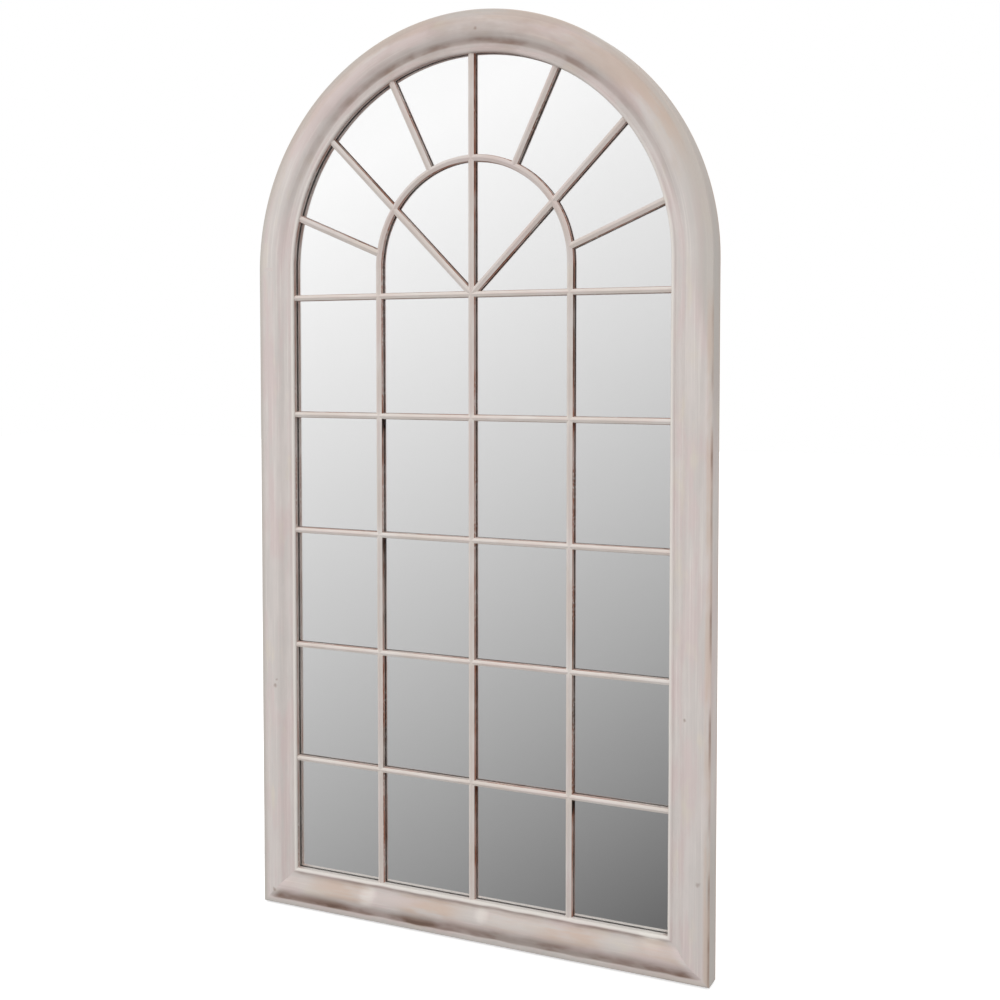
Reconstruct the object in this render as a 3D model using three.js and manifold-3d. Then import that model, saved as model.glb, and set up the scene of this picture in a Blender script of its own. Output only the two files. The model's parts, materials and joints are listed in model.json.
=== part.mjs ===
// Arched window mirror: a timber sash frame with a semicircular head, glazing bars
// with a fan in the arch, one mirror pane behind them, and the fixings on its back.
//
// Millimetres, +Z up. The mirror faces -Y and hangs on a wall at y = 0. The origin is
// on the wall, midway between the two hooks that its hanging rings go over.
// The pieces are drawn in bench coordinates, where z = 0 is the underside, y = 0 the
// frame's flat back and "depth" is measured forward from that back, towards -Y.

import * as THREE from 'three';
import { mergeVertices } from 'three/addons/utils/BufferGeometryUtils.js';
import Module from 'manifold-3d';

const wasm = await Module();
wasm.setup();

// ---- Driving dimensions ------------------------------------------------------

const WIDTH = 600; // overall width, and twice the outer radius of the arch
const HEIGHT = 1120; // overall height, underside to the top of the arch
const GAP = 0.3; // clearance between pieces that touch

// Frame moulding, from its outer edge inwards
const FACE = 50; // outer edge to sight edge
const SIDE_DEPTH = 26; // outer side wall, back to front
const CREST_DEPTH = 31; // back to the top of the broad swell
const FILLET_WIDTH = 7.5; // flat outer margin
const ARRIS = 1.5; // rounding of the outer corner
const QUIRK_WIDTH = 2; // sunk line between the margin and the swell
const QUIRK_SINK = 3; // how far it lies below the margin
const GROOVE_WIDTH = 2; // sunk line between the swell and the bead
const BEAD_WIDTH = 6.5; // small round at the sight edge
const BEAD_RISE = 2.5; // bead crest above the groove
const BEAD_FOOT = 22; // back to the groove's floor
const REBATE_WIDTH = 8; // step that the pane sits in
const SEAT_DEPTH = 16.3; // back to the rebate's seat

// Glazing bars
const COLUMNS = 4;
const ROWS = 5; // rows of panes below the top transom
const BAR_WIDTH = 9;
const BAR_SIDE = 3.1; // flat side of a bar, above the glass
const BAR_THICKNESS = 5.7; // to the crown of its rounded front
const TRANSOM_DROP = 34.5; // springing line down to the top transom's middle
const SHORT_RAY_TILT = 22.5; // degrees above level, aimed at the crossing
const LONG_RAY_TILT = 45; // degrees above level, aimed at the crossing
const STEEP_RAY_TILT = 64.3; // degrees above level, aimed at the arch's centre

// Pane and backing
const GLASS_THICKNESS = 3;
const BOARD_THICKNESS = 3;
const PANE_CLEARANCE = 1; // pane edge to rebate wall

// Offset clips that hold the backing board
const CLIP_WIDTH = 16;
const CLIP_METAL = 1.2;
const CLIP_LEG = 20; // on the frame
const CLIP_FOOT = 13; // on the board
const CLIP_BEND = 1.6; // inside radius of both bends
const CLIP_HOLE_INSET = 11; // web to screw
const JAMB_CLIPS = 2; // on each jamb
const RAIL_CLIPS = 2; // on the bottom rail
const ARCH_CLIP_ANGLE = 45; // degrees from level, one on each side

// Screws
const SCREW_RADIUS = 1.75;
const SCREW_HEAD_RADIUS = 3.6;
const SCREW_HEAD_RISE = 1.9;
const SCREW_POINT = 3;
const SCREW_HOLE_RADIUS = 2.15;
const CLIP_SCREW_LENGTH = 13;
const HANGER_SCREW_LENGTH = 15;

// Hangers: a strap with a rolled eye, and a D-ring that swings in the eye
const HANG_DROP = 24; // springing line down to the rings' pivots
const STRAP_WIDTH = 12;
const STRAP_METAL = 1;
const STRAP_LENGTH = 40; // eye to rounded tail
const STRAP_HOLES = [23, 34]; // pivot down to each screw
const RING_WIRE_RADIUS = 1.3;
const RING_WIDTH = 20; // between the wire's centre lines
const RING_DROP = 6; // straight part of each side
const EYE_CLEARANCE = 0.35; // round the wire in the eye
const RING_BUTT = 0.8; // open butt of the bent wire, inside the eye

// Wall bumpers
const PAD_RADIUS = 6;
const PAD_THICKNESS = 6;
const PAD_CHAMFER = 0.8;
const LOWER_PAD_INSET = 46; // outer side to the lower pads
const UPPER_PAD_ANGLE = 66; // degrees from level

// Smoothness
const FULL_TURN_STEPS = 96; // facets in a full turn of the arch
const SWELL_STEPS = 6; // half the facets across a rounded moulding
const ROUND_STEPS = 12; // small turned parts

// ---- Sizes that follow -------------------------------------------------------

const ARCH_RADIUS = WIDTH / 2;
const SPRING = HEIGHT - ARCH_RADIUS; // height of the arch's centre
const REBATE_INSET = FACE - REBATE_WIDTH; // outer edge to the rebate's wall
const PANE_INSET = REBATE_INSET + PANE_CLEARANCE; // outer edge to the pane's edge
const GLASS_FRONT = SEAT_DEPTH - GAP;
const BOARD_FRONT = GLASS_FRONT - GLASS_THICKNESS - GAP;
const BOARD_BACK = BOARD_FRONT - BOARD_THICKNESS;
const COLUMN_PITCH = (WIDTH - 2 * FACE + BAR_WIDTH) / COLUMNS;
const TOP_TRANSOM = SPRING - TRANSOM_DROP;
const ROW_PITCH = (TOP_TRANSOM + BAR_WIDTH / 2 - FACE) / ROWS;
const INNER_ARCH_RADIUS = COLUMN_PITCH; // it springs from the outer mullions
const LAP = BAR_THICKNESS / 2; // depth of a halving joint
const REACH = WIDTH + HEIGHT; // longer than any piece
const JAMB_MIDDLE = REBATE_INSET / 2; // outer edge to the middle of the flat back
const HANG_HEIGHT = SPRING - HANG_DROP; // underside of the frame to the pivots

const rad = THREE.MathUtils.degToRad;

// ---- Helpers -----------------------------------------------------------------

// A closed geometry as a solid for cutting.
function toSolid(geometry) {
  const bare = geometry.index ? geometry.toNonIndexed() : geometry.clone();
  bare.deleteAttribute('normal');
  bare.deleteAttribute('uv');
  const merged = mergeVertices(bare, 1e-3);
  return new wasm.Manifold(new wasm.Mesh({
    numProp: 3,
    vertProperties: new Float32Array(merged.attributes.position.array),
    triVerts: new Uint32Array(merged.index.array),
  }));
}

// A cut solid back as a geometry.
function toGeometry(solid) {
  const mesh = solid.getMesh();
  const geometry = new THREE.BufferGeometry();
  geometry.setAttribute('position', new THREE.BufferAttribute(mesh.vertProperties, 3));
  geometry.setIndex(new THREE.BufferAttribute(mesh.triVerts, 1));
  const flat = geometry.toNonIndexed();
  flat.computeVertexNormals();
  return flat;
}

// Extrudes a shape, then lays its X, Y and extruded Z along the given directions.
function extrudeAlong(shape, length, along, segments = SWELL_STEPS) {
  const geometry = new THREE.ExtrudeGeometry(shape, {
    depth: length,
    bevelEnabled: false,
    curveSegments: segments,
  });
  const basis = new THREE.Matrix4().makeBasis(along.x, along.y, along.z);
  return geometry.applyMatrix4(basis);
}

const RIGHT = new THREE.Vector3(1, 0, 0);
const LEFT = new THREE.Vector3(-1, 0, 0);
const UP = new THREE.Vector3(0, 0, 1);
const DOWN = new THREE.Vector3(0, 0, -1);
const FRONT = new THREE.Vector3(0, -1, 0);
const BACK = new THREE.Vector3(0, 1, 0);

// A plain block between two corners.
function block(low, high) {
  const size = high.map((value, i) => value - low[i]);
  const middle = high.map((value, i) => (value + low[i]) / 2);
  return new THREE.BoxGeometry(...size).translate(...middle);
}

// An outline in the XZ plane, filled between two depths.
function slab(shape, fromDepth, toDepth) {
  const across = { x: RIGHT, y: UP, z: FRONT };
  return extrudeAlong(shape, toDepth - fromDepth, across, FULL_TURN_STEPS / 2)
    .translate(0, -fromDepth, 0);
}

// The mirror's own outline, moved inwards by an inset.
function archedOutline(inset) {
  const half = ARCH_RADIUS - inset;
  const shape = new THREE.Shape();
  shape.moveTo(-half, inset);
  shape.lineTo(half, inset);
  shape.lineTo(half, SPRING);
  shape.absarc(0, SPRING, half, 0, Math.PI, false);
  shape.closePath();
  return shape;
}

// A closed section (radius, depth) turned about the arch's axis.
function turnedRing(shape, segments) {
  const profile = shape.getPoints(segments);
  const first = profile[0];
  if (profile[profile.length - 1].distanceTo(first) > 1e-6) {
    profile.push(first.clone());
  }
  return new THREE.LatheGeometry(profile, FULL_TURN_STEPS).translate(0, 0, SPRING);
}

// A small turned part with its axis along +Y and its profile given as (radius, y).
function turned(profile) {
  const points = profile.map(([radius, y]) => new THREE.Vector2(radius, y));
  return new THREE.LatheGeometry(points, ROUND_STEPS);
}

// ---- Materials ---------------------------------------------------------------

const whitewash = new THREE.MeshStandardMaterial({ color: 0xc8beb6, roughness: 0.75, metalness: 0 });
const mirror = new THREE.MeshStandardMaterial({ color: 0xdfe3e4, roughness: 0.03, metalness: 1 });
const hardboard = new THREE.MeshStandardMaterial({ color: 0x7a5c42, roughness: 0.8, metalness: 0 });
const zinc = new THREE.MeshStandardMaterial({ color: 0xb4b5b3, roughness: 0.4, metalness: 1 });
const rubber = new THREE.MeshStandardMaterial({ color: 0x3a3836, roughness: 0.9, metalness: 0 });

const bench = new THREE.Group();
bench.position.set(0, -PAD_THICKNESS, -HANG_HEIGHT);

function add(name, geometry, material) {
  const mesh = new THREE.Mesh(geometry, material);
  mesh.name = name;
  bench.add(mesh);
  return mesh;
}

// ---- Frame moulding ----------------------------------------------------------

// Section of the moulding: x runs from the outer edge inwards, y forward from the back.
function mouldingSection() {
  const swellStart = FILLET_WIDTH + QUIRK_WIDTH;
  const swellEnd = FACE - BEAD_WIDTH - GROOVE_WIDTH;
  const swellFoot = SIDE_DEPTH - QUIRK_SINK;
  const swellHalf = (swellEnd - swellStart) / 2;
  const beadHalf = BEAD_WIDTH / 2;
  const shape = new THREE.Shape();
  shape.moveTo(0, 0);
  shape.lineTo(0, SIDE_DEPTH - ARRIS);
  shape.quadraticCurveTo(0, SIDE_DEPTH, ARRIS, SIDE_DEPTH);
  shape.lineTo(FILLET_WIDTH, SIDE_DEPTH);
  shape.lineTo(FILLET_WIDTH + QUIRK_WIDTH / 4, swellFoot);
  shape.lineTo(swellStart, swellFoot);
  shape.absellipse(swellStart + swellHalf, swellFoot, swellHalf,
    CREST_DEPTH - swellFoot, Math.PI, 0, true);
  shape.lineTo(swellEnd + GROOVE_WIDTH / 4, BEAD_FOOT);
  shape.lineTo(swellEnd + GROOVE_WIDTH, BEAD_FOOT);
  shape.absellipse(FACE - beadHalf, BEAD_FOOT, beadHalf, BEAD_RISE, Math.PI, 0, true);
  shape.lineTo(FACE, SEAT_DEPTH);
  shape.lineTo(REBATE_INSET, SEAT_DEPTH);
  shape.lineTo(REBATE_INSET, 0);
  shape.closePath();
  return shape;
}

// Cuts both ends of a straight moulding that was extruded from 0 to length along its
// own Z. A mitred end slopes one for one with the distance from the outer edge.
function trimEnds(geometry, length, startMitred, endMitred) {
  const place = geometry.attributes.position;
  for (let i = 0; i < place.count; i += 1) {
    const inwards = place.getX(i);
    const atStart = place.getZ(i) < length / 2;
    const slope = (atStart ? startMitred : endMitred) ? inwards : 0;
    const z = atStart ? slope + GAP / 2 : length - slope - GAP / 2;
    place.setZ(i, z);
  }
  return geometry;
}

function straightMoulding(length, startMitred, endMitred, along) {
  const geometry = new THREE.ExtrudeGeometry(mouldingSection(), {
    depth: length,
    bevelEnabled: false,
    curveSegments: SWELL_STEPS,
  });
  trimEnds(geometry, length, startMitred, endMitred);
  return geometry.applyMatrix4(new THREE.Matrix4().makeBasis(along.x, along.y, along.z));
}

const frameBlanks = {};
frameBlanks.bottom_rail = toSolid(
  straightMoulding(WIDTH, true, true, { x: UP, y: FRONT, z: RIGHT })
    .translate(-ARCH_RADIUS, 0, 0),
);
frameBlanks.left_jamb = toSolid(
  straightMoulding(SPRING, false, true, { x: RIGHT, y: FRONT, z: DOWN })
    .translate(-ARCH_RADIUS, 0, SPRING),
);
frameBlanks.right_jamb = toSolid(
  straightMoulding(SPRING, true, false, { x: LEFT, y: FRONT, z: UP })
    .translate(ARCH_RADIUS, 0, 0),
);

// The arched head is turned as one ring and sawn into two quarters.
const ringSection = new THREE.Shape(
  mouldingSection().getPoints(SWELL_STEPS)
    .map((point) => new THREE.Vector2(ARCH_RADIUS - point.x, -point.y))
    .reverse(),
);
const headRing = toSolid(turnedRing(ringSection, 1));
for (const [name, side] of [['arch_left', -1], ['arch_right', 1]]) {
  const near = side * (GAP / 2);
  const far = side * REACH;
  const quarter = block(
    [Math.min(near, far), -REACH, SPRING + GAP / 2],
    [Math.max(near, far), REACH, SPRING + REACH],
  );
  frameBlanks[name] = headRing.intersect(toSolid(quarter));
}

// ---- Places on the back ------------------------------------------------------

// Each clip: a name, the point on the rebate's edge, and the turn about Y that
// points its foot inwards over the board (0 = towards +X, measured towards +Z).
const jambRun = SPRING - FACE;
const clipPlaces = [];
for (let i = 0; i < JAMB_CLIPS; i += 1) {
  const height = FACE + (jambRun * (i + 0.5)) / JAMB_CLIPS;
  clipPlaces.push([`left_${i + 1}`, -ARCH_RADIUS + REBATE_INSET, height, 0]);
  clipPlaces.push([`right_${i + 1}`, ARCH_RADIUS - REBATE_INSET, height, 180]);
}
for (let i = 0; i < RAIL_CLIPS; i += 1) {
  const along = ((i + 0.5) / RAIL_CLIPS - 0.5) * (WIDTH - 2 * FACE);
  clipPlaces.push([`bottom_${i + 1}`, along, REBATE_INSET, 90]);
}
for (const [name, angle] of [['arch_1', 180 - ARCH_CLIP_ANGLE], ['arch_2', ARCH_CLIP_ANGLE]]) {
  const radius = ARCH_RADIUS - REBATE_INSET;
  clipPlaces.push([name, radius * Math.cos(rad(angle)),
    SPRING + radius * Math.sin(rad(angle)), angle + 180]);
}

const hangerPlaces = [
  ['left', -ARCH_RADIUS + JAMB_MIDDLE],
  ['right', ARCH_RADIUS - JAMB_MIDDLE],
];

// Every screw: a name, where its axis meets the back, its length under the head, and
// the thickness of metal under its head.
const screwPlaces = [];
for (const [name, x, z, turn] of clipPlaces) {
  screwPlaces.push([`clip_screw_${name}`,
    x - CLIP_HOLE_INSET * Math.cos(rad(turn)),
    z - CLIP_HOLE_INSET * Math.sin(rad(turn)), CLIP_SCREW_LENGTH, CLIP_METAL]);
}
for (const [name, x] of hangerPlaces) {
  STRAP_HOLES.forEach((drop, i) => {
    screwPlaces.push([`hanger_screw_${name}_${i + 1}`, x, HANG_HEIGHT - drop,
      HANGER_SCREW_LENGTH, STRAP_METAL]);
  });
}

// A hole along Y, from a depth in the timber out past the back.
function screwHole(x, z, depth) {
  const past = 10;
  return toSolid(turned([[0, -depth], [SCREW_HOLE_RADIUS, -depth],
    [SCREW_HOLE_RADIUS, past], [0, past]]).translate(x, 0, z));
}

// ---- Frame, drilled for its screws -------------------------------------------

for (const [name, blank] of Object.entries(frameBlanks)) {
  let piece = blank;
  const box = blank.boundingBox();
  for (const [, x, z, length] of screwPlaces) {
    const inside = x > box.min[0] && x < box.max[0] && z > box.min[2] && z < box.max[2];
    if (inside) {
      piece = piece.subtract(screwHole(x, z, length + GAP));
    }
  }
  add(name, toGeometry(piece), whitewash);
}

// ---- Glazing bars ------------------------------------------------------------

// Section of a bar: flat sides and a rounded front, drawn above the glass.
function barSection() {
  const half = BAR_WIDTH / 2;
  const shape = new THREE.Shape();
  shape.moveTo(half, 0);
  shape.lineTo(half, BAR_SIDE);
  shape.absellipse(0, BAR_SIDE, half, BAR_THICKNESS - BAR_SIDE, 0, Math.PI, false);
  shape.lineTo(-half, 0);
  shape.closePath();
  return shape;
}

// A plain section, wider by the clearance, that notches a neighbour's underside up to a
// level above the glass.
function notchSection(level) {
  const half = BAR_WIDTH / 2 + GAP;
  const shape = new THREE.Shape();
  shape.moveTo(half, -1);
  shape.lineTo(half, level);
  shape.lineTo(-half, level);
  shape.lineTo(-half, -1);
  shape.closePath();
  return shape;
}

// A bar's own section above a level, grown by the clearance. It scribes a neighbour, so
// that the neighbour's rounded front runs out over this bar's shoulders to its crown.
function scribeSection(level) {
  const half = BAR_WIDTH / 2 + GAP;
  const shape = new THREE.Shape();
  shape.moveTo(half, level);
  shape.lineTo(half, BAR_SIDE);
  shape.absellipse(0, BAR_SIDE, half, BAR_THICKNESS - BAR_SIDE + GAP, 0, Math.PI, false);
  shape.lineTo(-half, level);
  shape.closePath();
  return shape;
}

const BAR_ROUND_STEPS = 3;

// A straight bar in the plane of the bars: from a point, along a direction (degrees
// from +X towards +Z).
function straightBar(section, from, angle, length) {
  const run = new THREE.Vector3(Math.cos(rad(angle)), 0, Math.sin(rad(angle)));
  const side = new THREE.Vector3().crossVectors(FRONT, run);
  return toSolid(
    extrudeAlong(section, length, { x: side, y: FRONT, z: run }, BAR_ROUND_STEPS)
      .translate(from[0], -SEAT_DEPTH, from[1]),
  );
}

// The inner arch, as the upper half of a turned ring.
function innerArch(section, radius = INNER_ARCH_RADIUS) {
  const ringed = new THREE.Shape(
    section.getPoints(BAR_ROUND_STEPS)
      .map((point) => new THREE.Vector2(radius + point.x, -SEAT_DEPTH - point.y))
      .reverse(),
  );
  const upper = block([-REACH, -REACH, SPRING + GAP / 2], [REACH, REACH, SPRING + REACH]);
  return toSolid(turnedRing(ringed, 1)).intersect(toSolid(upper));
}

const backHalf = notchSection(LAP + GAP / 2);
const frontHalf = scribeSection(LAP - GAP / 2);
const wholeBar = scribeSection(-1);

// Everything is trimmed to the daylight opening, just clear of the sight edge.
const daylight = toSolid(slab(archedOutline(FACE + GAP), 0, CREST_DEPTH));
const trimmed = (solid) => solid.intersect(daylight);
const without = (solid, cutters) => cutters.reduce((rest, cutter) => rest.subtract(cutter), solid);

const sill = [-REACH / 2, 0]; // a start well outside the opening
const transomHeights = Array.from({ length: ROWS }, (_, i) => TOP_TRANSOM - i * ROW_PITCH);
const transomBar = (section, height) => straightBar(section, [sill[0], height], 0, REACH);
const crossing = [0, TOP_TRANSOM];
const fanCentre = [0, SPRING];

// Long rays run right through to the frame; short ones stop on the inner arch.
const rays = [
  ['fan_bar_1', crossing, SHORT_RAY_TILT, 'short'],
  ['fan_bar_2', crossing, LONG_RAY_TILT, 'long'],
  ['fan_bar_3', fanCentre, STEEP_RAY_TILT, 'short'],
  ['fan_bar_4', fanCentre, 180 - STEEP_RAY_TILT, 'short'],
  ['fan_bar_5', crossing, 180 - LONG_RAY_TILT, 'long'],
  ['fan_bar_6', crossing, 180 - SHORT_RAY_TILT, 'short'],
];
const rayBar = (section, [, from, angle]) => straightBar(section, from, angle, REACH);
const longRays = rays.filter(([, , , kind]) => kind === 'long');

// Mullions are lapped over the transoms, and the middle one over the inner arch.
const mullionPlaces = [
  ['left_mullion', -COLUMN_PITCH, SPRING - GAP / 2],
  ['centre_mullion', 0, REACH],
  ['right_mullion', COLUMN_PITCH, SPRING - GAP / 2],
];
for (const [name, x, top] of mullionPlaces) {
  const laps = transomHeights.map((height) => transomBar(backHalf, height));
  if (x === 0) {
    laps.push(innerArch(backHalf));
  }
  add(name, toGeometry(without(trimmed(straightBar(barSection(), [x, 0], 90, top)), laps)),
    whitewash);
}

const mullionFronts = mullionPlaces
  .map(([, x]) => straightBar(frontHalf, [x, 0], 90, REACH));
const centreFront = straightBar(frontHalf, [0, 0], 90, REACH);
transomHeights.forEach((height, i) => {
  add(`transom_${i + 1}`,
    toGeometry(without(trimmed(transomBar(barSection(), height)), mullionFronts)), whitewash);
});

// The inner arch is notched for the middle mullion and the two long rays.
const archLaps = [centreFront, ...longRays.map((ray) => rayBar(frontHalf, ray))];
add('inner_arch', toGeometry(without(innerArch(barSection()), archLaps)), whitewash);

// Rays butt against the crossing of the middle mullion and the top transom.
const hub = [
  straightBar(wholeBar, [0, 0], 90, REACH),
  transomBar(wholeBar, TOP_TRANSOM),
];
const insideArch = toSolid(slab(
  new THREE.Shape().absarc(0, SPRING, INNER_ARCH_RADIUS, 0, 2 * Math.PI, false), 0, CREST_DEPTH,
));
for (const ray of rays) {
  const cutters = ray[3] === 'long'
    ? [...hub, innerArch(backHalf)]
    : [insideArch, innerArch(wholeBar), straightBar(wholeBar, [-COLUMN_PITCH, 0], 90, SPRING),
      straightBar(wholeBar, [COLUMN_PITCH, 0], 90, SPRING)];
  add(ray[0], toGeometry(without(trimmed(rayBar(barSection(), ray)), cutters)), whitewash);
}

// ---- Pane and backing board --------------------------------------------------

add('mirror_glass', slab(archedOutline(PANE_INSET), GLASS_FRONT - GLASS_THICKNESS, GLASS_FRONT),
  mirror);
add('backing_board', slab(archedOutline(PANE_INSET), BOARD_BACK, BOARD_FRONT), hardboard);

// ---- Offset clips ------------------------------------------------------------

// Side view of a clip: x runs inwards from the rebate's edge, y back from the frame.
function clipProfile() {
  const seat = GAP; // face on the timber
  const foot = -BOARD_BACK + GAP; // face on the board
  const web = CLIP_BEND; // web stands just inside the rebate
  const metal = CLIP_METAL;
  const inner = CLIP_BEND - metal / 2;
  const outer = inner + metal;
  const shape = new THREE.Shape();
  shape.moveTo(-CLIP_LEG, seat);
  shape.lineTo(web - inner, seat);
  shape.absarc(web - inner, seat - inner, inner, Math.PI / 2, 0, true);
  shape.lineTo(web, foot + outer);
  shape.absarc(web + outer, foot + outer, outer, Math.PI, 1.5 * Math.PI, false);
  shape.lineTo(web + CLIP_FOOT, foot);
  shape.lineTo(web + CLIP_FOOT, foot + metal);
  shape.lineTo(web + outer, foot + metal);
  shape.absarc(web + outer, foot + outer, inner, 1.5 * Math.PI, Math.PI, true);
  shape.lineTo(web + metal, seat - inner);
  shape.absarc(web - inner, seat - inner, outer, 0, Math.PI / 2, false);
  shape.lineTo(-CLIP_LEG, seat + metal);
  shape.closePath();
  return shape;
}

const clipBlank = toSolid(
  extrudeAlong(clipProfile(), CLIP_WIDTH, { x: RIGHT, y: BACK, z: UP }, 2)
    .translate(0, 0, -CLIP_WIDTH / 2),
);
const clipGeometry = toGeometry(clipBlank.subtract(screwHole(-CLIP_HOLE_INSET, 0, 2)));
for (const [name, x, z, turn] of clipPlaces) {
  const clip = add(`board_clip_${name}`, clipGeometry, zinc);
  clip.position.set(x, 0, z);
  clip.rotation.y = -rad(turn);
}

// ---- Screws ------------------------------------------------------------------

// A round-headed wood screw, its underside at y = 0 and its point towards -Y, with a
// cross recess in the head.
function screwGeometry(length) {
  const crown = SCREW_HEAD_RISE;
  const body = turned([
    [0, -length],
    [SCREW_RADIUS, -length + SCREW_POINT],
    [SCREW_RADIUS, 0],
    [SCREW_HEAD_RADIUS, 0],
    [SCREW_HEAD_RADIUS, crown * 0.35],
    [SCREW_HEAD_RADIUS * 0.75, crown * 0.85],
    [SCREW_HEAD_RADIUS * 0.35, crown],
    [0, crown],
  ]);
  const slotLength = SCREW_HEAD_RADIUS * 0.55;
  const slotWidth = 0.45;
  const floor = crown * 0.4;
  const slots = toSolid(block([-slotLength, floor, -slotWidth], [slotLength, crown + 1, slotWidth]))
    .add(toSolid(block([-slotWidth, floor, -slotLength], [slotWidth, crown + 1, slotLength])));
  return toGeometry(toSolid(body).subtract(slots));
}

const screwShapes = {
  [CLIP_SCREW_LENGTH]: screwGeometry(CLIP_SCREW_LENGTH),
  [HANGER_SCREW_LENGTH]: screwGeometry(HANGER_SCREW_LENGTH),
};
for (const [name, x, z, length, metal] of screwPlaces) {
  const screw = add(name, screwShapes[length], zinc);
  screw.position.set(x, metal + 2 * GAP, z);
}

// ---- Hangers -----------------------------------------------------------------

// The strap is screwed to the jamb's back below a rolled eye. Side view: x is the
// distance back from the frame, y the height above the ring's pivot.
const EYE_RADIUS = RING_WIRE_RADIUS + EYE_CLEARANCE;
const PIVOT_BACK = GAP + STRAP_METAL + EYE_RADIUS;

function strapGeometry() {
  const shape = new THREE.Shape();
  const outer = EYE_RADIUS + STRAP_METAL;
  const lip = rad(250); // the curl's end, measured from the plate round the top
  shape.moveTo(GAP, 0);
  shape.lineTo(GAP, -STRAP_LENGTH);
  shape.lineTo(GAP + STRAP_METAL, -STRAP_LENGTH);
  shape.lineTo(GAP + STRAP_METAL, 0);
  shape.absarc(PIVOT_BACK, 0, EYE_RADIUS, Math.PI, Math.PI - lip, true);
  shape.lineTo(PIVOT_BACK + outer * Math.cos(Math.PI - lip), outer * Math.sin(Math.PI - lip));
  shape.absarc(PIVOT_BACK, 0, outer, Math.PI - lip, Math.PI, false);
  shape.closePath();
  const curled = extrudeAlong(shape, STRAP_WIDTH, { x: BACK, y: UP, z: RIGHT }, 7)
    .translate(-STRAP_WIDTH / 2, 0, 0);
  // The tail is rounded to half the strap's width.
  const half = STRAP_WIDTH / 2;
  const face = new THREE.Shape();
  face.moveTo(-half, half);
  face.lineTo(-half, -STRAP_LENGTH + half);
  face.absarc(0, -STRAP_LENGTH + half, half, Math.PI, 2 * Math.PI, false);
  face.lineTo(half, half);
  face.closePath();
  const outline = extrudeAlong(face, 4 * outer, { x: RIGHT, y: UP, z: FRONT }, 6)
    .translate(0, 3 * outer, 0);
  let strap = toSolid(curled).intersect(toSolid(outline));
  for (const drop of STRAP_HOLES) {
    strap = strap.subtract(screwHole(0, -drop, 2));
  }
  return toGeometry(strap);
}

// The ring's wire: down one side, round the bow, up the other and back to the butt,
// which is hidden in the eye. It is stored hanging down over the strap.
function ringGeometry() {
  const half = RING_WIDTH / 2;
  const corner = RING_WIRE_RADIUS * 2.2;
  const path = new THREE.CurvePath();
  const at = (x, z) => new THREE.Vector3(x, 0, z);
  const bend = (a, b, c) => new THREE.QuadraticBezierCurve3(a, b, c);
  path.add(new THREE.LineCurve3(at(RING_BUTT / 2, 0), at(half - corner, 0)));
  path.add(bend(at(half - corner, 0), at(half, 0), at(half, -corner)));
  path.add(new THREE.LineCurve3(at(half, -corner), at(half, -RING_DROP)));
  const bow = 8;
  for (let i = 0; i < bow; i += 1) {
    const a0 = (-Math.PI * i) / bow;
    const a1 = (-Math.PI * (i + 1)) / bow;
    path.add(new THREE.LineCurve3(
      at(half * Math.cos(a0), -RING_DROP + half * Math.sin(a0)),
      at(half * Math.cos(a1), -RING_DROP + half * Math.sin(a1)),
    ));
  }
  path.add(new THREE.LineCurve3(at(-half, -RING_DROP), at(-half, -corner)));
  path.add(bend(at(-half, -corner), at(-half, 0), at(-half + corner, 0)));
  path.add(new THREE.LineCurve3(at(-half + corner, 0), at(-RING_BUTT / 2, 0)));
  const wire = new THREE.Shape().absarc(0, 0, RING_WIRE_RADIUS, 0, 2 * Math.PI, false);
  return new THREE.ExtrudeGeometry(wire, {
    steps: 36,
    curveSegments: 5,
    extrudePath: path,
  });
}

const strapShape = strapGeometry();
const ringShape = ringGeometry();
for (const [name, x] of hangerPlaces) {
  add(`${name}_hanger_strap`, strapShape, zinc).position.set(x, 0, HANG_HEIGHT);
  add(`${name}_hanging_ring`, ringShape, zinc).position.set(x, PIVOT_BACK, HANG_HEIGHT);
}

// ---- Wall bumpers ------------------------------------------------------------

const padShape = turned([
  [0, GAP],
  [PAD_RADIUS, GAP],
  [PAD_RADIUS, PAD_THICKNESS - PAD_CHAMFER],
  [PAD_RADIUS - PAD_CHAMFER, PAD_THICKNESS],
  [0, PAD_THICKNESS],
]);
const padPlaces = [];
for (const [name, side] of [['left', -1], ['right', 1]]) {
  const radius = ARCH_RADIUS - JAMB_MIDDLE;
  padPlaces.push([`lower_${name}_pad`, side * (ARCH_RADIUS - LOWER_PAD_INSET), JAMB_MIDDLE]);
  padPlaces.push([`upper_${name}_pad`, side * radius * Math.cos(rad(UPPER_PAD_ANGLE)),
    SPRING + radius * Math.sin(rad(UPPER_PAD_ANGLE))]);
}
for (const [name, x, z] of padPlaces) {
  add(name, padShape, rubber).position.set(x, 0, z);
}

export default bench;
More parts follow.
